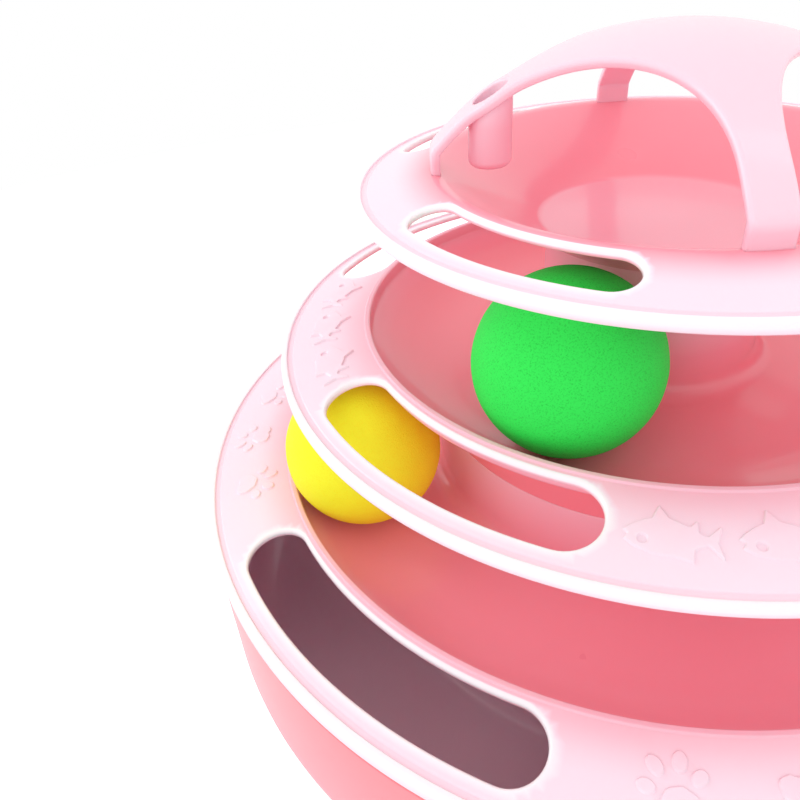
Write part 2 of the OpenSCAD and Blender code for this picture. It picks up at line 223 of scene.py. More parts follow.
class Skin:
    """Gathers faces with exact normals and makes one welded mesh of them."""

    def __init__(self):
        self.co, self.no, self.faces, self.count = [], [], [], 0

    def add(self, co, no, faces):
        self.co.append(np.asarray(co, float).reshape(-1, 3))
        self.no.append(np.asarray(no, float).reshape(-1, 3))
        self.faces += [tuple(self.count + i for i in f) for f in faces]
        self.count += len(self.co[-1])

    def grid(self, co, no):
        """A net of quads, whose second index closes on itself."""
        rows, cols = co.shape[:2]
        faces = []
        for i in range(rows - 1):
            for j in range(cols):
                k = (j + 1) % cols
                faces.append((i * cols + j, i * cols + k, (i + 1) * cols + k, (i + 1) * cols + j))
        self.add(co, no, faces)

    def cap(self, points, up):
        """One flat face that closes a ring of points and looks along up."""
        self.add(points, np.tile(up, (len(points), 1)), [tuple(range(len(points)))])

    def revolve(self, points, normals, segments=ROUND):
        a = np.linspace(0, 2 * math.pi, segments, endpoint=False)
        ring = np.stack([np.cos(a), np.sin(a)], 1)
        co, no = (np.concatenate([v[:, None, :1] * ring, np.repeat(v[:, None, 1:], segments, 1)], 2)
                  for v in (points, normals))
        self.grid(co, no)

    def build(self, name, depth=None):
        """Welds what lies together, turns each face to its normals and makes the object."""
        co, no = np.concatenate(self.co), np.concatenate(self.no)
        keys = np.round(co / 2e-3).astype(np.int64)
        _, first, back = np.unique(keys, axis=0, return_index=True, return_inverse=True)
        back = back.reshape(-1)
        co, no = co[first], no[first]
        faces = []
        for f in self.faces:
            g = []
            for v in (int(back[i]) for i in f):
                if v not in g:
                    g.append(v)
            if len(g) < 3:
                continue
            a, b, c = co[g[0]], co[g[1]], co[g[2]]
            face_no = np.cross(b - a, c - b)
            if len(g) == 4:
                face_no = np.cross(c - a, co[g[3]] - b)
            if face_no @ sum(no[i] for i in g) < 0:
                g.reverse()
            faces.append(g)
        mesh = bpy.data.meshes.new(name)
        mesh.from_pydata((co * MM).tolist(), [], faces)
        mesh.shade_smooth()
        length = np.linalg.norm(no, axis=1, keepdims=True)
        mesh.normals_split_custom_set_from_vertices((no / np.where(length > 0, length, 1)).tolist())
        # The deep attribute holds painted highlight and painted shade as a place on the pink ramp
        if depth is not None:
            layer = mesh.attributes.new("deep", "FLOAT", "POINT")
            layer.data.foreach_set("value", np.array([depth(*c) for c in co], np.float32))
        obj = bpy.data.objects.new(name, mesh)
        bpy.context.scene.collection.objects.link(obj)
        return obj


# Flanges with their slots and raised pattern

def cone_z(level, r):
    return RIM_Z[level] + (RIM_R[level] - r) * FLANGE_RISE / FLANGE_W


def cone_normal(x, y):
    r = math.hypot(x, y)
    return np.array([math.sin(SLOPE) * x / r, math.sin(SLOPE) * y / r, math.cos(SLOPE)])


def slot_line(level):
    """A slot's half width, and the radius and half angle of its centre line."""
    w = SLOT_W[level] / 2
    r = LIP_R[level] + SLOT_LAND[level] + w
    return w, r, math.radians(SLOT_SPAN[level] / 2) - math.asin(w / r)


def slot_edge(level, grow, index):
    """Points of a slot's outline moved out by grow, and their flat normals away from the slot."""
    w, r, half = slot_line(level)
    turn = index * math.pi / 2
    w += grow
    arcs, caps = SLOT_STEPS
    points, normals = [], []
    for sign in (1, -1):
        for k in range(arcs):
            d = ray(turn - sign * half + sign * 2 * half * k / arcs)
            points.append(d * (r + sign * w))
            normals.append(sign * d)
        end = ray(turn + sign * half)
        for k in range(caps):
            d = turned(sign * end, math.pi * k / caps)
            points.append(r * end + w * d)
            normals.append(d)
    return np.array(points), np.array(normals)


def in_slot(level, x, y, grow):
    w, r, half = slot_line(level)
    a = (math.atan2(y, x) + math.pi / 4) % (math.pi / 2) - math.pi / 4
    reach = math.hypot(x, y)
    w += grow
    if abs(a) <= half:
        return abs(reach - r) < w
    return math.hypot(reach * math.cos(abs(a) - half) - r, reach * math.sin(abs(a) - half)) < w


def inset(corners, d):
    """A closed outline moved in by d, with its fillets kept parallel."""
    n = len(corners)
    p = [np.array(c[:2], float) for c in corners]
    out = []
    for i, (_, _, fillet) in enumerate(corners):
        d1, d2 = unit(p[i] - p[i - 1]), unit(p[(i + 1) % n] - p[i])
        turn = math.atan2(d1[0] * d2[1] - d1[1] * d2[0], float(d1 @ d2))
        left = np.array([-d1[1], d1[0]])
        q = p[i] + d * left + d1 * d * -math.tan(turn / 2)
        out.append((q[0], q[1], max(0.02, fillet - d if turn > 0 else fillet + d)))
    return out


def circle_shape(x, y, rx, ry=None, turn=0.0):
    ry = ry or rx
    points = []
    for k in range(20):
        a = 2 * math.pi * k / 20
        q = turned([rx * math.cos(a), ry * math.sin(a)], turn)
        points.append((x + q[0], y + q[1], min(rx, ry) * 0.5))
    return points


def paw_shapes(w):
    """Main pad and four toes, toes outwards (+y), as lists of rounded corners."""
    pad = [(-0.30, -0.27, 0.12), (-0.10, -0.33, 0.10), (0.0, -0.28, 0.10), (0.10, -0.33, 0.10),
           (0.30, -0.27, 0.12), (0.27, -0.06, 0.10), (0.11, 0.10, 0.10), (-0.11, 0.10, 0.10),
           (-0.27, -0.06, 0.10)]
    shapes = [[(x * w, y * w, f * w) for x, y, f in pad]]
    for a, reach, rx, ry in ((62, 0.40, 0.105, 0.135), (22, 0.44, 0.11, 0.15),
                             (-22, 0.44, 0.11, 0.15), (-62, 0.40, 0.105, 0.135)):
        t = math.radians(a)
        x, y = -math.sin(t) * reach * w, math.cos(t) * reach * w - 0.04 * w
        shapes.append(circle_shape(x, y, rx * w, ry * w, t))
    return shapes


def fish_shape(length):
    """Head towards -x: open mouth, back fin, two belly fins and a forked tail."""
    f = [(-0.50, 0.055, 0.012), (-0.455, 0.0, 0.012), (-0.50, -0.055, 0.012), (-0.42, -0.12, 0.05),
         (-0.27, -0.20, 0.06), (-0.20, -0.22, 0.03), (-0.12, -0.40, 0.018), (-0.02, -0.235, 0.03),
         (0.10, -0.185, 0.05), (0.17, -0.15, 0.02), (0.27, -0.26, 0.015), (0.27, -0.085, 0.03),
         (0.34, -0.055, 0.03), (0.52, -0.24, 0.018), (0.45, 0.0, 0.03), (0.52, 0.24, 0.018),
         (0.34, 0.06, 0.03), (0.22, 0.12, 0.05), (0.20, 0.28, 0.018), (0.02, 0.235, 0.03),
         (-0.20, 0.22, 0.12), (-0.40, 0.14, 0.06)]
    return [(x * length, y * length, r * length) for x, y, r in f]


def inside(polygon, x, y):
    px, py = polygon[:, 0], polygon[:, 1]
    qx, qy = np.roll(px, -1), np.roll(py, -1)
    rise = np.where(qy == py, 1e-12, qy - py)
    crosses = ((py > y) != (qy > y)) & (x < (qx - px) * (y - py) / rise + px)
    return bool(np.count_nonzero(crosses) % 2)


def triangles(flat, edges, wanted):
    """Faces over flat points that keep to the edges and whose centres are wanted."""
    _, _, faces, origin, _, _ = delaunay_2d_cdt([Vector(q) for q in flat], edges, [], 0, 1e-6)
    kept = []
    for face in faces:
        corners = [origin[i][0] for i in face]
        if wanted(*np.mean([flat[i] for i in corners], axis=0)):
            kept.append(corners)
    return kept


def flange_rings(level):
    """Radii where the flange meets the rim's edge and the lip, each on top and below."""
    rim = [RIM_R[level] - d for d in RIM_JOIN]
    return rim, MOUTH_JOIN if level == 2 else [LIP_R[level] + d for d in LIP_JOIN]


def flange_face(skin, level, low, placed):
    """A flange's upper face, or its lower one if low is 1: slots cut out, prints raised."""
    outer, inner = (ring[low] for ring in flange_rings(level))
    grow, sunk = SLOT_ROUND[low], WALL * low
    around = [2 * math.pi * k / ROUND for k in range(ROUND)]
    co, no, edges, outlines = [], [], [], []

    def flat_no(q):
        return -cone_normal(*q) if low else cone_normal(*q)

    def loop(points, lift=0, normals=None):
        start = len(co)
        co.extend((q[0], q[1], cone_z(level, math.hypot(q[0], q[1])) + lift - sunk) for q in points)
        no.extend(normals or [flat_no(q) for q in points])
        edges.extend((start + k, start + (k + 1) % len(points)) for k in range(len(points)))

    for r in (outer, inner):
        loop([(r * math.cos(t), r * math.sin(t)) for t in around])
    for k in range(4):
        loop(slot_edge(level, grow, k)[0])
    mid = RIM_R[level] - FLANGE_W / 2
    for shape, angle, spin, hole in placed:
        e_r = ray(angle)
        e_t = np.array([-e_r[1], e_r[0]])
        for d, lift, lean in BEVEL:
            pts, nrm = rounded(inset(shape, -d if hole else d), True, 24.0)
            pts = np.array([turned(q, spin) for q in pts])
            nrm = np.array([turned(q, spin) for q in nrm]) * (-1 if hole else 1)
            world = mid * e_r + pts[:, :1] * e_t + pts[:, 1:] * e_r
            out = nrm[:, :1] * e_t + nrm[:, 1:] * e_r
            tilt = [unit(flat_no(q) + lean * np.append(m, 0)) for q, m in zip(world, out)]
            loop(world, lift * PRINT_H, tilt)
            if d == 0.0 and not hole:
                outlines.append(world)
    for r in np.linspace(inner, outer, 11)[1:-1]:
        for t in around:
            x, y = r * math.cos(t), r * math.sin(t)
            if in_slot(level, x, y, grow + 0.7):
                continue
            if any(np.min(np.hypot(o[:, 0] - x, o[:, 1] - y)) < 0.5 or inside(o, x, y)
                   for o in outlines if abs(o[0, 0] - x) + abs(o[0, 1] - y) < 40):
                continue
            co.append((x, y, cone_z(level, r) - sunk))
            no.append(flat_no((x, y)))

    def wanted(x, y):
        on_ring = inner * 0.9999 < math.hypot(x, y) < outer
        return on_ring and not in_slot(level, x, y, grow - 1e-4)
    skin.add(co, no, triangles([c[:2] for c in co], edges, wanted))


def slot_walls(skin, level):
    """The walls of four slots, with their edges rounded into both faces."""
    steps = [(t, 0) for t in np.linspace(0, math.pi / 2, 6)]
    steps += [(t, 1) for t in np.linspace(math.pi / 2, math.pi, 5)]
    for k in range(4):
        rows, row_no = [], []
        for t, low in steps:
            edge = SLOT_ROUND[low]
            down, up = (WALL, edge * (1 + math.cos(t))) if low else (edge * (1 - math.cos(t)), 0)
            pts, nrm = slot_edge(level, edge * (1 - math.sin(t)), k)
            rows.append([(*q, cone_z(level, math.hypot(*q)) - down + up) for q in pts])
            row_no.append([math.cos(t) * cone_normal(*q) - math.sin(t) * np.append(m, 0)
                           for q, m in zip(pts, nrm)])
        skin.grid(np.array(rows), np.array(row_no))


def rim_outline(level):
    """The rolled edge, with a shallow groove between it and the flange."""
    r, z = RIM_R[level], RIM_Z[level]
    drop, out = RIM_EDGE[level]
    top, low = flange_rings(level)[0]
    ditch, bank, land = r - 0.3, r - 1.5, r - 1.8
    return [(low, cone_z(level, low) - WALL, 0), (r + 0.1, cone_z(level, r) - WALL, 0.25),
            (r + 0.1, z - drop, 0.3), (r + out, z - drop, 0.8), (r + out, z + 0.35, 1.3),
            (r - 0.1, z + 0.5, 0.25), (ditch, cone_z(level, ditch) - GROOVE, 0.15),
            (bank, cone_z(level, bank) - GROOVE, 0.15), (land, cone_z(level, land), 0.2),
            (top, cone_z(level, top), 0)]


def block(skin, r0, r1, z0, z1, a0, a1):
    """A block bent round the axis, for lugs and stops."""
    a = np.linspace(a0, a1, max(3, int(abs(a1 - a0)) + 1))
    pts, nrm = rounded([(r0, z0, 0.15), (r1, z0, 0.15), (r1, z1, 0.15), (r0, z1, 0.15)], True, 45)
    co, no = (np.array([np.column_stack([v[:, 0] * math.cos(t), v[:, 0] * math.sin(t), v[:, 1]])
                        for t in np.radians(a)]) for v in (pts, nrm))
    skin.grid(co, no)
    for end, sign in ((0, -1), (-1, 1)):
        t = math.radians(a[end])
        skin.cap(co[end], np.array([-math.sin(t), math.cos(t), 0]) * sign)


def neck_blocks(skin, i):
    """Four lugs on a neck, and beside each the stop that ends the twist."""
    r, z = HUB_R[i] - WALL - LOCK_SPACE - LUG_BITE, SEAM_Z[i]
    for a in (0, 90, 180, 270):
        for (z0, z1), (a0, a1) in ((NECK_LUG, (-LUG_TURN, LUG_TURN)), (STOP_Z, STOP_TURN)):
            block(skin, r, r + LUG_REACH, z + z0, z + z1, a + a0, a + a1)


def skirt_blocks(skin, i):
    """Four lugs inside a skirt."""
    r, z = HUB_R[i] - WALL, SEAM_Z[i]
    r0, r1 = r - (LUG_REACH - LUG_BITE), r + LUG_BITE
    for a in (0, 90, 180, 270):
        block(skin, r0, r1, z + SKIRT_LUG[0], z + SKIRT_LUG[1], a - LUG_TURN, a + LUG_TURN)


def hub_top(i, inner_z):
    """From the outside of a hub up over the shelf and the neck and down inside."""
    h, s = HUB_R[i], SEAM_Z[i]
    n = h - WALL - LOCK_SPACE
    return [(h, s, 0.35), (n, s, 0.4), (n, s + NECK_H, 0.4), (n - WALL, s + NECK_H, 0.4),
            (n - WALL, s - WALL, 0.6), (h - WALL, s - WALL, 0.6), (h - WALL, inner_z, 0.6)]


def trough_corners(level, top_side):
    """Corners of a track's rounded side, from lip down to floor on top, or back up below."""
    t, z, radius = TRACK_R[level], TRACK_Z[level], TROUGH_R[level]
    reach = LIP_R[level] - TRACK_R[level]
    side = -WALL / 2 if top_side else WALL / 2
    wall_r, last = LIP_R[level] + side, reach + side - TROUGH_STOP
    if not top_side:
        radius, z = radius + WALL, z - WALL
    angle = math.asin(last / radius)
    rise = radius * (1 - math.cos(angle))
    meet = (wall_r, z + rise + (wall_r - t - last) * math.tan(angle), 1.6)
    low = (t + radius * math.tan(angle / 2), z, radius)
    return [meet, low] if top_side else [low, meet]


def tray_outline(level):
    """The rest of a tray's section: lip, trough, hub, neck, and back by underside and skirt."""
    lr, lz, tz = LIP_R[level], LIP_Z[level], TRACK_Z[level]
    hub, skirt_r = HUB_R[level + 1], HUB_R[level]
    top, end = flange_rings(level)[1]
    corners = [(top, cone_z(level, top), 0), (lr + 0.75, cone_z(level, lr + 0.75), 0.25),
               (lr + 0.5, lz + 0.3, 0.25), (lr - 0.9, lz + 0.3, 0.6)]
    corners += trough_corners(level, True)
    corners += [(hub, tz, 5.0)] + hub_top(level + 1, tz - WALL)
    under = trough_corners(level, False)
    depth = tz - WALL
    if level == 0:
        corners += [(skirt_r - WALL, depth, 0.8), (skirt_r - WALL, SEAM_Z[0], 0.4),
                    (skirt_r, SEAM_Z[0], 0.35), (skirt_r, depth, 0.8)] + under
    else:
        radius, t = TROUGH_R[1] + WALL, TRACK_R[1]

        def low(r):
            return depth + radius - math.sqrt(radius ** 2 - (r - t) ** 2)
        corners += [(t, depth, 2.0), (skirt_r - WALL, low(skirt_r - WALL), 0.6),
                    (skirt_r - WALL, SEAM_Z[1], 0.4), (skirt_r, SEAM_Z[1], 0.35),
                    (skirt_r, low(skirt_r), 0.8)]
        first = math.degrees(math.asin((skirt_r + 1.5 - t) / radius))
        last = math.degrees(math.asin((LIP_R[1] + WALL / 2 - TROUGH_STOP - t) / radius))
        for k in range(11):
            a = math.radians(first + (last - first) * k / 10)
            corners.append((t + radius * math.sin(a), depth + radius * (1 - math.cos(a)), 0.9))
        corners.append(under[-1])
    turn = lr + WALL / 2
    return corners + [(turn, cone_z(level, turn) - WALL, 0.7), (end, cone_z(level, end) - WALL, 0)]


def bowl_outline():
    """The upper tray inside its slots: mouth, bowl and floor, and the underside with its skirt."""
    hub, z = HUB_R[2], cone_z(2, MOUTH_R)
    slope = math.atan2(z - BOWL_Z, MOUTH_R - BOWL_R)
    foot = BOWL_R + WALL * math.tan(slope / 2)
    top, low = MOUTH_JOIN
    return [(top, cone_z(2, top), 0), (MOUTH_R, z, MOUTH_ROUND), (BOWL_R, BOWL_Z, 4.0),
            (0, BOWL_Z, 0)], [
        (0, BOWL_Z - WALL, 0), (hub - WALL, BOWL_Z - WALL, 0.8), (hub - WALL, SEAM_Z[2], 0.4),
        (hub, SEAM_Z[2], 0.35), (hub, BOWL_Z - WALL, 0.8), (foot, BOWL_Z - WALL, 5.0),
        (MOUTH_R, z - WALL, 3.0), (low, cone_z(2, low) - WALL, 0)]


def spread(shapes, spacing, spin=None, holes=()):
    """Three prints between two slots, with one spin or each turned another way."""
    placed = []
    for leg in range(4):
        for k in (-1, 0, 1):
            angle = math.radians(45 + 90 * leg + k * spacing)
            turn = spin if spin is not None else (math.pi if k else 0) + 0.25 * k
            placed += [(s, angle, turn, False) for s in shapes]
            placed += [(s, angle, turn, True) for s in holes]
    return placed


def tray_painted_light(level):
    """Painted highlight, nearly white, on rim and slot edges, pale on the flange, painted shade
    deeper down the trough and hub.
    """
    lip, rim = MOUTH_R if level == 2 else LIP_R[level], RIM_R[level]

    def depth(x, y, z):
        r = math.hypot(x, y)
        upper_face = z > cone_z(level, r) - 1.0
        # Painted highlight on the rim's face, painted shade on its underside
        if r > rim - 0.2:
            return RIM_PAINTED_LIGHT[0 if z > RIM_Z[level] - 0.9 else 1]
        # Painted shade in the groove between rim and flange
        if upper_face and r > rim - 1.7:
            return GROOVE_PAINTED_SHADE
        # Painted highlight, nearly white, on the rounded slot edges
        if upper_face and r > lip and in_slot(level, x, y, SLOT_ROUND[0] + 0.01):
            return SLOT_PAINTED_HIGHLIGHT
        # Painted shade: deeper pink inside the flange towards the lip, and down the trough, hub and
        # bowl
        on_flange = smooth_step(r, lip - 1, lip + 11)
        down = smooth_step(LIP_Z[level] - z, 0, 10) * (1 - smooth_step(r, lip, lip + 4))
        tint = FLANGE_TINT + INSIDE_PAINTED_SHADE[level] * (1 - on_flange) + DOWN_PAINTED_SHADE[level] * down
        # Painted light: the bowl's floor paler than its wall
        if level == 2:
            tint -= BOWL_FLOOR_PAINTED_LIGHT * (1 - smooth_step(r, BOWL_R - 3, BOWL_R + 5))
        return tint
    return depth


# Crossbar: a thin dome of revolution, cut to four legs that end in upright heels

SHOULDER = (LEG_R - SHOULDER_R * math.cos(FOOT_LEAN), HEEL_Z - SHOULDER_R * math.sin(FOOT_LEAN))
CROWN_DROP = APEX_Z - SHOULDER[1]
CROWN_R = (SHOULDER[0] ** 2 + CROWN_DROP ** 2 - SHOULDER_R ** 2) / (2 * (CROWN_DROP - SHOULDER_R))
CROWN_EDGE = SHOULDER[0] / (CROWN_R - SHOULDER_R)
CREASE_LEAN = (LEG_R - CREASE_R - SHOULDER[0]) / (SHOULDER_R - CREASE_R)
CREASE_TURN = math.acos(CREASE_LEAN)
CREASE_AT = SHOULDER[0] + SHOULDER_R * CREASE_LEAN
CREASE_Z = SHOULDER[1] + (SHOULDER_R - CREASE_R) * math.sin(CREASE_TURN)
LEG_END = CREASE_AT + CREASE_R * CREASE_TURN + CREASE_Z - FOOT_LOW
CUT_R = (WEB_R - LEG_W / 2 * math.sqrt(2)) / (math.sqrt(2) - 1)
CUT_AT = CUT_R + LEG_W / 2


def profile(reach):
    """Radius, height and outward lean of the arch, reach along its skin from the axis."""
    if reach <= CROWN_R * CROWN_EDGE:
        return reach, APEX_Z - CROWN_R + math.sqrt(CROWN_R ** 2 - reach ** 2), reach / CROWN_R
    if reach <= CREASE_AT:
        lean = (reach - SHOULDER[0]) / SHOULDER_R
        return reach, SHOULDER[1] + SHOULDER_R * math.sqrt(1 - lean * lean), lean
    past = (reach - CREASE_AT) / CREASE_R
    angle = max(0.0, CREASE_TURN - past)
    z = CREASE_Z + CREASE_R * math.sin(angle) - CREASE_R * max(0.0, past - CREASE_TURN)
    return LEG_R - CREASE_R * (1 - math.cos(angle)), z, math.cos(angle)


def arch(x, y, deep=0.0):
    """Place, deep under the skin, and normal of the arch at a point of its flattened skin."""
    reach = max(1e-9, math.hypot(x, y))
    r, z, lean = profile(reach)
    up = math.sqrt(max(0.0, 1 - lean * lean))
    cx, cy = x / reach, y / reach
    r -= deep * lean
    return np.array([cx * r, cy * r, z - deep * up]), np.array([cx * lean, cy * lean, up])


def under_flat(x, y):
    """The flattened point whose place on the shoulder's underside has this x and y."""
    r = math.hypot(x, y)
    share = ARCH_T / SHOULDER_R
    reach = (r - share * SHOULDER[0]) / (1 - share)
    return x * reach / r, y * reach / r


def cross_edge(grow):
    """Outline of the flattened cross moved in by grow, and flat directions out of it.

    Each leg is straight, the arms meet in round webs, and the leg over the tube has a round boss.
    """
    side = []
    for reach in np.linspace(LEG_END, CUT_AT, 16)[:-1]:
        y = LEG_W / 2 * reach / profile(reach)[0]
        side.append((math.sqrt(reach * reach - y * y), y))
    points = []
    for q in range(4):
        turn = math.radians(45 + 90 * q)
        points += [turned(e, turn) for e in side]
        for b in np.linspace(math.pi / 2, 0, 73):
            web = [CUT_AT - CUT_R * math.cos(b), CUT_AT - CUT_R * math.sin(b)]
            points.append(turned(web, turn))
        points += [turned((y, x), turn) for x, y in reversed(side)]
        for k in (0.6, 0.2, -0.2, -0.6):
            y = side[0][1] * k
            end = [math.sqrt(LEG_END ** 2 - y * y), -y]
            points.append(turned(end, turn + math.pi / 2))
    points = np.array(points)
    boss = turned([-BOSS_AT, 0.0], math.radians(45))
    away = points - boss
    off = np.hypot(away[:, 0], away[:, 1])[:, None]
    points = boss + away / off * (off ** 8 + BOSS_R ** 8) ** 0.125
    along = np.roll(points, -1, 0) - np.roll(points, 1, 0)
    outs = np.column_stack([along[:, 1], -along[:, 0]])
    outs = outs / np.hypot(along[:, 0], along[:, 1])[:, None]
    return points - grow * outs, outs


def arch_faces(skin, tube, around):
    """The arch's skin and its underside, with the round openings of the bore and the tube."""
    for top in (True, False):
        pts, _ = cross_edge(ARCH_ROUND[0 if top else 1])
        hole = BORE_R + BORE_MOUTH if top else TUBE_R + TUBE_NECK
        ring = [tube + hole * d for d in around]
        ring = np.array(ring if top else [under_flat(*q) for q in ring])
        co = [tuple(q) for q in pts] + [tuple(q) for q in ring]
        edges = [(k, (k + 1) % len(pts)) for k in range(len(pts))]
        edges += [(len(pts) + k, len(pts) + (k + 1) % TUBE_ROUND) for k in range(TUBE_ROUND)]
        co.append((0.0, 0.0))
        for r in np.arange(2.0, LEG_END, 1.9):
            count = max(12, int(2 * math.pi * r / 2.1))
            for t in np.linspace(0, 2 * math.pi, count, endpoint=False):
                q = r * ray(t)
                if not inside(pts, *q) or np.min(np.hypot(*(pts - q).T)) < 0.8:
                    continue
                if not inside(ring, *q) and np.min(np.hypot(*(ring - q).T)) > 0.8:
                    co.append(tuple(q))
        kept = triangles(co, edges, lambda x, y: inside(pts, x, y) and not inside(ring, x, y))
        spots = [arch(*q, 0.0 if top else ARCH_T) for q in co]
        skin.add([place for place, _ in spots], [n if top else -n for _, n in spots], kept)


def arch_sides(skin):
    """The arch's cut sides, with their edges rounded into its skin and its underside."""
    high, low = ARCH_ROUND
    rows, row_no = [], []
    for t in np.linspace(0, math.pi, 13):
        grow, deep = high * (1 - math.sin(t)), high * (1 - math.cos(t))
        if t > math.pi / 2:
            grow, deep = low * (1 - math.sin(t)), ARCH_T - low * (1 + math.cos(t))
        pts, outs = cross_edge(grow)
        rows.append([arch(x, y, deep)[0] for x, y in pts])
        row = []
        for (x, y), o in zip(pts, outs):
            n, e = arch(x, y)[1], unit((x, y))
            ahead = float(o @ e)
            flat = ahead * n[2] * e + o - ahead * e
            side = np.append(flat, -ahead * math.hypot(n[0], n[1]))
            row.append(math.cos(t) * n + math.sin(t) * side)
        row_no.append(row)
    skin.grid(np.array(rows), np.array(row_no))


# Bore and tube: sign of outward, radius, rounding at the arch, heights of the wall, end, its
# rounding, where on the rounding its rings start, and their count
SLEEVES = ((-1, BORE_R, BORE_MOUTH, (145.0, 141.0, 137.0), BORE_FLOOR, 0.8, 0.3, 5),
           (1, TUBE_R, TUBE_NECK, (141.0, 138.0), TUBE_TIP, 1.9, 0.2, 7))


def sleeves(skin, tube, around):
    """The bore down to its floor, and the tube's outside down to its closed end."""
    for sign, radius, edge, heights, end, fillet, first, count in SLEEVES:
        rows, row_no = [], []
        for t in np.linspace(0, math.pi / 2, 6):
            flat = [tube + (radius + edge * (1 - math.sin(t))) * d for d in around]
            spots = [arch(*q) if sign < 0 else arch(*under_flat(*q), ARCH_T) for q in flat]
            rows.append([place - (0, 0, edge * (1 - math.cos(t))) for place, _ in spots])
            row_no.append([sign * (math.sin(t) * np.append(d, 0) - math.cos(t) * n)
                           for (_, n), d in zip(spots, around)])
        for z in (*heights, end + fillet):
            rows.append([(*(tube + radius * d), z) for d in around])
            row_no.append([np.append(sign * d, 0) for d in around])
        for t in np.linspace(first, math.pi / 2, count):
            r, z = radius - fillet * (1 - math.cos(t)), end + fillet * (1 - math.sin(t))
            rows.append([(*(tube + r * d), z) for d in around])
            row_no.append([np.append(sign * d * math.cos(t), -sign * math.sin(t)) for d in around])
        skin.grid(np.array(rows), np.array(row_no))
        skin.cap(rows[-1], (0, 0, -sign))


def peg(skin, angle):
    """A flat peg under a leg, with its lower and upper edges rounded."""
    mid, corner = LEG_R - ARCH_T / 2, PEG_ROUND[0]
    x0, x1, y = mid - PEG[0] / 2, mid + PEG[0] / 2, PEG[1] / 2
    outline = [(x0, -y, corner), (x1, -y, corner), (x1, y, corner), (x0, y, corner)]
    z0, z1 = FEET_Z - PEG[2], FOOT_LOW + 0.3
    low, high = PEG_ROUND
    c, s = math.cos(angle), math.sin(angle)
    rows, row_no = [], []

    def row(d, z, out, up):
        pts, nrm = rounded(inset(outline, d), True, 15)
        rows.append(np.column_stack([pts[:, 0] * c - pts[:, 1] * s, pts[:, 0] * s + pts[:, 1] * c,
                                     np.full(len(pts), z)]))
        row_no.append(np.column_stack([(nrm[:, 0] * c - nrm[:, 1] * s) * out,
                                       (nrm[:, 0] * s + nrm[:, 1] * c) * out,
                                       np.full(len(pts), up)]))
    steps = np.linspace(0, math.pi / 2, 5)
    for t in steps:
        row(low * (1 - math.sin(t)), z0 + low * (1 - math.cos(t)), math.sin(t), -math.cos(t))
    for t in steps:
        row(high * (1 - math.cos(t)), z1 - high * (1 - math.sin(t)), math.cos(t), math.sin(t))
    skin.grid(np.array(rows), np.array(row_no))
    for end, up in ((0, -1), (-1, 1)):
        skin.cap(rows[end], (0, 0, up))


def make_crossbar(name):
    skin = Skin()
    tube = TUBE_AT * ray(math.radians(225))
    around = [ray(2 * math.pi * k / TUBE_ROUND) for k in range(TUBE_ROUND)]
    arch_faces(skin, tube, around)
    arch_sides(skin)
    sleeves(skin, tube, around)
    for k in range(4):
        peg(skin, math.radians(45 + 90 * k))

    # Painted shade: deeper pink on the tube under the arch and low on the feet
    def depth(x, y, z):
        off = math.hypot(x - tube[0], y - tube[1])
        on_tube = (1 - smooth_step(off, 5.4, 6.2)) * (1 - smooth_step(z, 142, 148))
        foot = 1 - smooth_step(z, FOOT_LOW + 3, FOOT_LOW + 8)
        return max(ARCH_TINT, TUBE_PAINTED_SHADE * on_tube, FOOT_PAINTED_SHADE * foot)
    return skin.build(name, depth)


def make_foot(name, index):
    """Foot pad: a soft disc with a hollow underneath and a stud that sits in the base's floor."""
    radius, height, stud, reach = FOOT_PAD
    skin = Skin()
    skin.revolve(*rounded([
        (0, 0.5, 0), (3.4, 0.5, 0.2), (4.0, 0, 0.2), (radius, 0, 0.6), (radius, height, 0.5),
        (stud, height, 0.15), (stud, height + reach, 0.3), (0, height + reach, 0)]), 72)
    foot = skin.build(name)
    a = math.radians(45 + 90 * index)
    foot.location = (FOOT_AT * MM * math.cos(a), FOOT_AT * MM * math.sin(a), 0)
    return foot


def make_tray(name, level):
    skin = Skin()
    skin.revolve(*rounded(rim_outline(level)))
    for outline in bowl_outline() if level == 2 else [tray_outline(level)]:
        skin.revolve(*rounded(outline))
    if level == 0:
        placed = spread(paw_shapes(PAW_W), PRINT_APART[0])
    elif level == 1:
        eye = circle_shape(-0.30 * FISH_L, 0.045 * FISH_L, EYE_R)
        placed = spread([fish_shape(FISH_L)], PRINT_APART[1], 0.0, [eye])
    else:
        placed = []
    flange_face(skin, level, 0, placed)
    flange_face(skin, level, 1, [])
    slot_walls(skin, level)
    if level < 2:
        neck_blocks(skin, level + 1)
    skirt_blocks(skin, level)
    return skin.build(name, tray_painted_light(level))


def make_base(name):
    skin = Skin()
    inner = BASE_R - WALL
    skin.revolve(*rounded([
        (0, BASE_LOW, 0), (BASE_R, BASE_LOW, 14.0), (BASE_R, BASE_TOP, 0.7), (inner, BASE_TOP, 0.7),
        (inner, FLOOR_Z, 12.2), (HUB_R[0], FLOOR_Z, 5.0), *hub_top(0, FLOOR_Z), (0, FLOOR_Z, 0)]))
    neck_blocks(skin, 0)

    # Painted shade on the outer wall, with painted bounce light making it paler towards the bottom
    def depth(x, y, z):
        outside = smooth_step(math.hypot(x, y), BASE_R - 1.5, BASE_R - 0.3)
        down = smooth_step(BASE_TOP - z, 10, 40)
        return BASE_TINT + outside * (OUTSIDE_PAINTED_SHADE - OUTSIDE_PAINTED_BOUNCE * down)
    return skin.build(name, depth)


# Materials

def linear(r, g, b):
    """A colour of the screen, 0 to 255, as the shader takes it."""
    return tuple(((c / 255 + 0.055) / 1.055) ** 2.4 if c > 10 else c / 255 / 12.92
                 for c in (r, g, b)) + (1.0,)


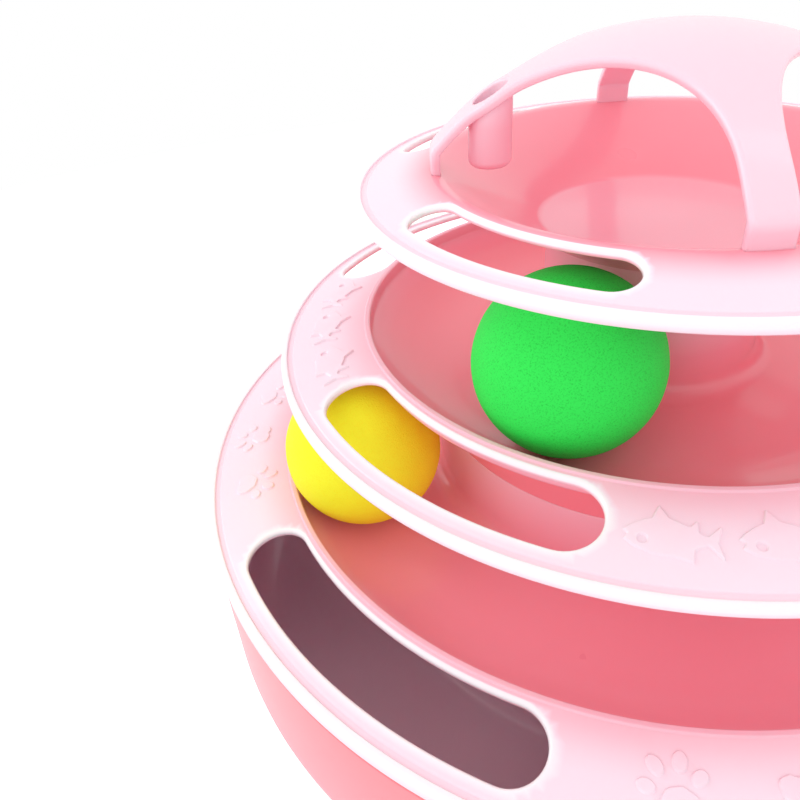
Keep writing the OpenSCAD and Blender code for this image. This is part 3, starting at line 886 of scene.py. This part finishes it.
class Nodes:
    """A material, and short ways to add and link its nodes."""
    def __init__(self, name):
        self.mat = bpy.data.materials.new(name)
        self.mat.use_nodes = True
        self.tree = self.mat.node_tree
        self.shader = self.tree.nodes["Principled BSDF"]

    def node(self, kind, inputs=None, **settings):
        n = self.tree.nodes.new(kind)
        for key, value in settings.items():
            setattr(n, key, value)
        for key, value in (inputs or {}).items():
            if isinstance(value, bpy.types.NodeSocket):
                self.tree.links.new(value, n.inputs[key])
            else:
                n.inputs[key].default_value = value
        return n

    def ramp(self, factor, stops):
        n = self.node("ShaderNodeValToRGB", {"Fac": factor})
        ramp = n.color_ramp
        while len(ramp.elements) < len(stops):
            ramp.elements.new(0.5)
        for element, (pos, colour) in zip(ramp.elements, stops):
            element.position = pos
            element.color = colour
        return n.outputs["Color"]

    def noise(self, scale, detail=3.0, roughness=0.5):
        coords = self.node("ShaderNodeTexCoord").outputs["Object"]
        return self.node("ShaderNodeTexNoise", {"Vector": coords, "Scale": scale, "Detail": detail,
                                                "Roughness": roughness}).outputs["Fac"]

    def range(self, value, lo, hi, from_lo=0.0, from_hi=1.0):
        return self.node("ShaderNodeMapRange", {
            "Value": value, "From Min": from_lo, "From Max": from_hi,
            "To Min": lo, "To Max": hi}).outputs["Result"]

    def set(self, **values):
        for key, value in values.items():
            socket = self.shader.inputs[key.replace("_", " ")]
            if isinstance(value, bpy.types.NodeSocket):
                self.tree.links.new(value, socket)
            else:
                socket.default_value = value

    def bump(self, height, strength, distance):
        b = self.node("ShaderNodeBump", {"Height": height, "Strength": strength,
                                         "Distance": distance})
        self.set(Normal=b.outputs["Normal"])


def plastic(name, stops):
    """Glossy, translucent moulded plastic, its colour taken along a pink ramp by the deep
    attribute: painted highlight and painted shade.
    """
    m = Nodes(name)
    deep = m.node("ShaderNodeAttribute", attribute_name="deep").outputs["Fac"]
    cloud = m.noise(18.0, 2.0)
    shift = m.node("ShaderNodeMath", {0: deep, 1: m.range(cloud, -0.012, 0.012)}, operation="ADD")
    m.set(Base_Color=m.ramp(shift.outputs["Value"], stops))
    m.set(Roughness=m.range(m.noise(60.0, 3.0), PLASTIC_ROUGH - 0.015, PLASTIC_ROUGH + 0.02))
    m.bump(m.noise(220.0, 2.0), 0.05, 0.0003)
    m.set(Coat_Weight=0.4, Coat_Roughness=0.08, Subsurface_Weight=0.2, Subsurface_Scale=0.0015,
          Subsurface_Radius=(1.0, 0.6, 0.62))
    return m.mat


# Pink ramp from painted highlight, nearly white, to painted shade, deepest
PINK_STOPS = [(0.0, linear(254, 244, 250)), (0.12, linear(254, 225, 238)),
              (0.4, linear(254, 194, 209)), (0.62, linear(254, 158, 175)),
              (1.0, linear(254, 126, 138))]


def foam(name, light, dark, scale, cells_scale):
    """Dense foam: fine grain over small cells, darker where both are low."""
    m = Nodes(name)
    grain = m.noise(scale, 5.0, 0.75)
    coords = m.node("ShaderNodeTexCoord").outputs["Object"]
    cells = m.node("ShaderNodeTexVoronoi", {"Vector": coords, "Scale": cells_scale})
    cells = cells.outputs["Distance"]
    mixed = m.node("ShaderNodeMath", {0: m.range(grain, 0.0, 1.0, 0.3, 0.7),
                                      1: m.range(cells, 0.0, 0.5, 0.0, 0.8)}, operation="ADD")
    mixed = mixed.outputs["Value"]
    stops = [(0.0, dark), (0.55, light), (1.0, light)]
    m.set(Base_Color=m.ramp(m.range(mixed, 0.0, 1.0, 0.3, 1.2), stops))
    m.set(Roughness=m.range(grain, FOAM_ROUGH - 0.1, FOAM_ROUGH + 0.1), Specular_IOR_Level=0.35)
    m.bump(mixed, 0.35, 0.0002)
    return m.mat


def rubber(name):
    m = Nodes(name)
    stops = [(0.3, linear(222, 222, 222)), (0.7, linear(238, 238, 238))]
    m.set(Base_Color=m.ramp(m.noise(300.0, 3.0), stops))
    m.set(Roughness=m.range(m.noise(900.0), 0.6, 0.8), Subsurface_Weight=0.1,
          Subsurface_Scale=0.001)
    m.bump(m.noise(1500.0, 4.0), 0.3, 0.0001)
    return m.mat


# Camera at the photograph's place, and the stage

def make_camera():
    yaw = YAW - TOWER_TURN
    side, back = math.sin(TOWER_TURN), -math.cos(TOWER_TURN)
    eye = Vector((EYE_AWAY * side, EYE_AWAY * back, EYE_UP + RIM_Z[0])) * MM
    ahead = Vector((math.sin(yaw) * math.cos(PITCH), math.cos(yaw) * math.cos(PITCH),
                    -math.sin(PITCH)))
    right = Vector((math.cos(yaw), -math.sin(yaw), 0))
    up = right.cross(ahead)
    c, s = math.cos(ROLL), math.sin(ROLL)
    right, up = c * right + s * up, -s * right + c * up
    data = bpy.data.cameras.new("view")
    data.sensor_fit = "HORIZONTAL"
    data.sensor_width = 36.0
    data.lens = 36.0 * FOCAL / PHOTO_W
    data.clip_start = 0.01
    camera = bpy.data.objects.new("view", data)
    facing = Matrix((right, up, -ahead)).transposed().to_4x4()
    camera.matrix_world = Matrix.Translation(eye) @ facing
    bpy.context.scene.collection.objects.link(camera)
    bpy.context.scene.camera = camera


def area_light(name, place, aim, size, power):
    data = bpy.data.lights.new(name, "AREA")
    data.shape = "RECTANGLE"
    data.size, data.size_y = size
    data.energy = power
    light = bpy.data.objects.new(name, data)
    light.location = place
    ahead = Vector((0, 0, aim)) - Vector(place)
    light.rotation_euler = ahead.to_track_quat("-Z", "Y").to_euler()
    bpy.context.scene.collection.objects.link(light)


def make_stage():
    mesh = bpy.data.meshes.new("floor")
    bm = bmesh.new()
    bmesh.ops.create_circle(bm, cap_ends=True, segments=96, radius=0.6)
    bm.to_mesh(mesh)
    bm.free()
    floor = bpy.data.objects.new("floor", mesh)
    floor.location = (0, 0, -0.0001)
    bpy.context.scene.collection.objects.link(floor)
    m = Nodes("floor")
    stops = [(0.0, linear(250, 250, 250)), (1.0, linear(254, 254, 254))]
    m.set(Base_Color=m.ramp(m.noise(3.0), stops), Roughness=0.9, Emission_Color=(1, 1, 1, 1))
    seen = m.node("ShaderNodeLightPath").outputs["Is Camera Ray"]
    m.set(Emission_Strength=m.range(seen, 0.0, FLOOR_GLOW))
    floor.data.materials.append(m.mat)
    world = bpy.data.worlds.new("studio")
    world.use_nodes = True
    back = world.node_tree.nodes["Background"]
    back.inputs["Color"].default_value = (1, 1, 1, 1)
    back.inputs["Strength"].default_value = WORLD_LIGHT
    bpy.context.scene.world = world
    for lamp in LAMPS:
        area_light(*lamp)


def make_ball(name, centre, material):
    mesh = bpy.data.meshes.new(name)
    bm = bmesh.new()
    bmesh.ops.create_icosphere(bm, subdivisions=6, radius=BALL_R * MM)
    for v in bm.verts:
        d = v.co.normalized()
        v.co = d * (BALL_R - BALL_DENT + BALL_WAVE * noise.noise(d * 5)) * MM
    bm.to_mesh(mesh)
    bm.free()
    mesh.shade_smooth()
    ball = bpy.data.objects.new(name, mesh)
    ball.location = Vector(centre) * MM
    mesh.materials.append(material)
    bpy.context.scene.collection.objects.link(ball)
    return ball


def polar(r, degrees, z):
    a = math.radians(degrees)
    return (r * math.cos(a), r * math.sin(a), z)


def dress():
    scene = bpy.context.scene
    scene.view_settings.view_transform = "Standard"
    make_camera()
    make_stage()
    pink = plastic("pink_plastic", PINK_STOPS)
    for name, level, body in (("lower_tray", 0, "lower_level"), ("middle_tray", 1, "middle_level"),
                              ("upper_tray", 2, "upper_level")):
        tray = make_tray("moulded_" + name, level)
        tray.data.materials.append(pink)
        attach(tray, body)
        if level < 2:
            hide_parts(name, name.replace("tray", "track"))
        else:
            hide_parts(name)
    base = make_base("moulded_base")
    base.data.materials.append(pink)
    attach(base, "base")
    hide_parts("base_bowl")
    green = foam("green_foam", linear(46, 236, 84), linear(22, 204, 60), 2600.0, 3200.0)
    yellow = foam("yellow_foam", linear(255, 255, 40), linear(255, 246, 14), 2200.0, 2600.0)
    blue = foam("blue_foam", linear(80, 168, 242), linear(52, 138, 224), 2200.0, 2600.0)
    for name, body, mat in (("green_ball", "green_runner", green),
                            ("yellow_ball", "yellow_runner", yellow),
                            ("base_ball", "base_runner", blue)):
        ball = make_ball("foam_" + name, polar(*BALL_AT[name]), mat)
        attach(ball, body)
        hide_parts(name)
    arch = make_crossbar("moulded_crossbar")
    arch.data.materials.append(pink)
    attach(arch, "upper_level")
    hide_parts("crossbar")
    soft = rubber("foot_rubber")
    for k in range(4):
        foot = make_foot(f"rubber_foot_{k + 1}", k)
        foot.data.materials.append(soft)
        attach(foot, "base")
        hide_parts(f"foot_{k + 1}")


dress()
bpy.context.view_layer.update()
